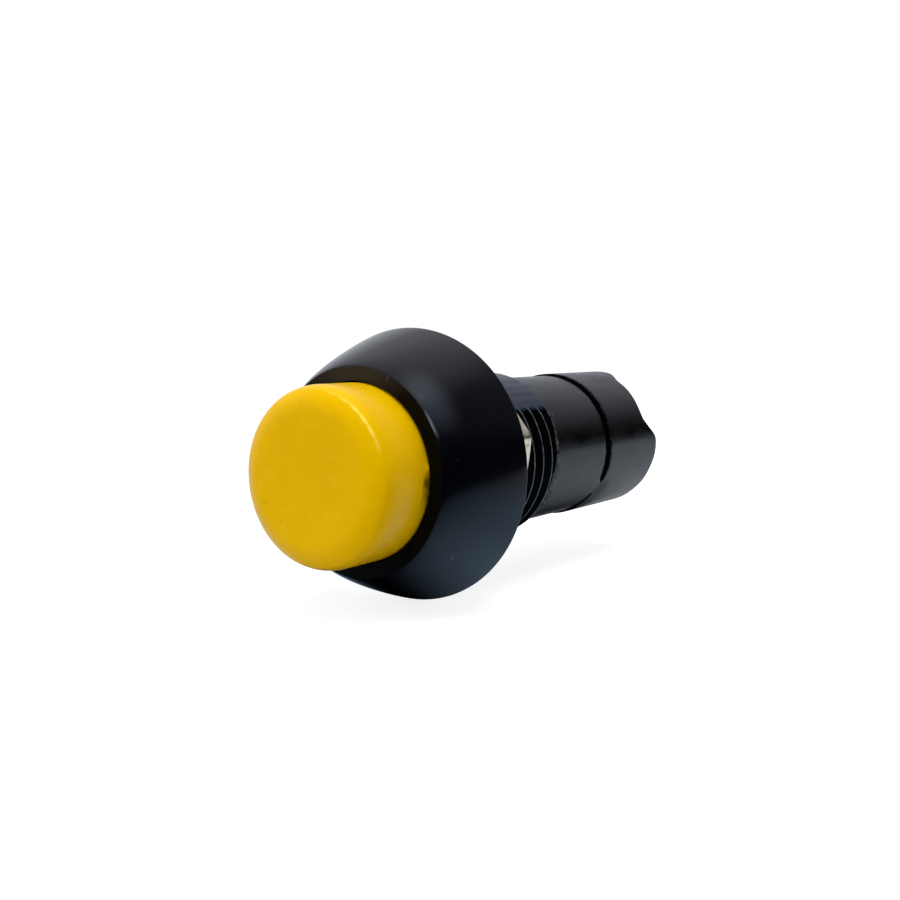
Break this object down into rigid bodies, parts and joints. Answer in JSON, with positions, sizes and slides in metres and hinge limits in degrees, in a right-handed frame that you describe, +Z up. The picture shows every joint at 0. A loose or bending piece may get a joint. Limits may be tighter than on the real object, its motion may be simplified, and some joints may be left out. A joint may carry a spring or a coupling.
{
  "type": "panel push button switch",
  "caption": "Round momentary push button switch with a domed bezel, clamped in a 12 mm panel hole by a hexagon nut, with solder lugs in a notched rear rim.",
  "frame": {"origin": "centre of the ring on the bezel's back that bears on the panel's front", "axes": "the button faces -Y, the rear body runs along +Y and +Z is up"},
  "size_m": [0.018, 0.0382, 0.018],
  "materials": {
    "black_plastic": "glossy black moulded plastic",
    "rear_plastic": "satin black moulded plastic",
    "yellow_plastic": "satin yellow moulded plastic",
    "white_plastic": "natural acetal",
    "phenolic": "brown laminated phenolic sheet",
    "nickel_plate": "warm nickel plate",
    "spring_steel": "drawn spring wire",
    "tinned_brass": "tin plate on brass",
    "spring_bronze": "rolled phosphor bronze",
    "silver_contact": "silver contact alloy"
  },
  "bodies": {
    "housing": {"barrel": "black_plastic", "rear_housing": "rear_plastic", "terminal_base": "phenolic", "terminal_right": "tinned_brass", "terminal_left": "tinned_brass", "fixed_contact_right": "silver_contact", "fixed_contact_left": "silver_contact", "return_spring": "spring_steel"},
    "plunger": {"button_cap": "yellow_plastic", "plunger": "white_plastic", "plunger_clip": "spring_steel", "bridge_clip": "spring_steel", "contact_spring": "spring_steel"},
    "bridge": {"contact_bridge": "spring_bronze", "bridge_contact_right": "silver_contact", "bridge_contact_left": "silver_contact"},
    "washer": {"lock_washer": "nickel_plate"},
    "nut": {"panel_nut": "nickel_plate"}
  },
  "joints": [
    {"name": "button_press", "type": "slide", "parent": "housing", "child": "plunger", "axis": [0, 1, 0], "range_m": [0, 0.003], "stiffness_N_per_m": 600, "springref_m": -0.003, "deforming": ["return_spring"]},
    {"name": "bridge_slide", "type": "slide", "parent": "plunger", "child": "bridge", "axis": [0, 1, 0], "range_m": [-0.001, 0], "deforming": ["contact_spring"]},
    {"name": "nut_travel", "type": "slide", "parent": "housing", "child": "washer", "axis": [0, 1, 0], "range_m": [0, 0.006]},
    {"name": "nut_turn", "type": "hinge", "parent": "washer", "child": "nut", "pos_m": [0, 0, 0], "axis": [0, 1, 0], "range_deg": [0, 1800]}
  ],
  "couplings": [
    {"joint": "bridge_slide", "follows": "button_press", "ratio": -0.33333},
    {"joint": "nut_turn", "follows": "nut_travel", "rad_per_m": 5236}
  ]
}
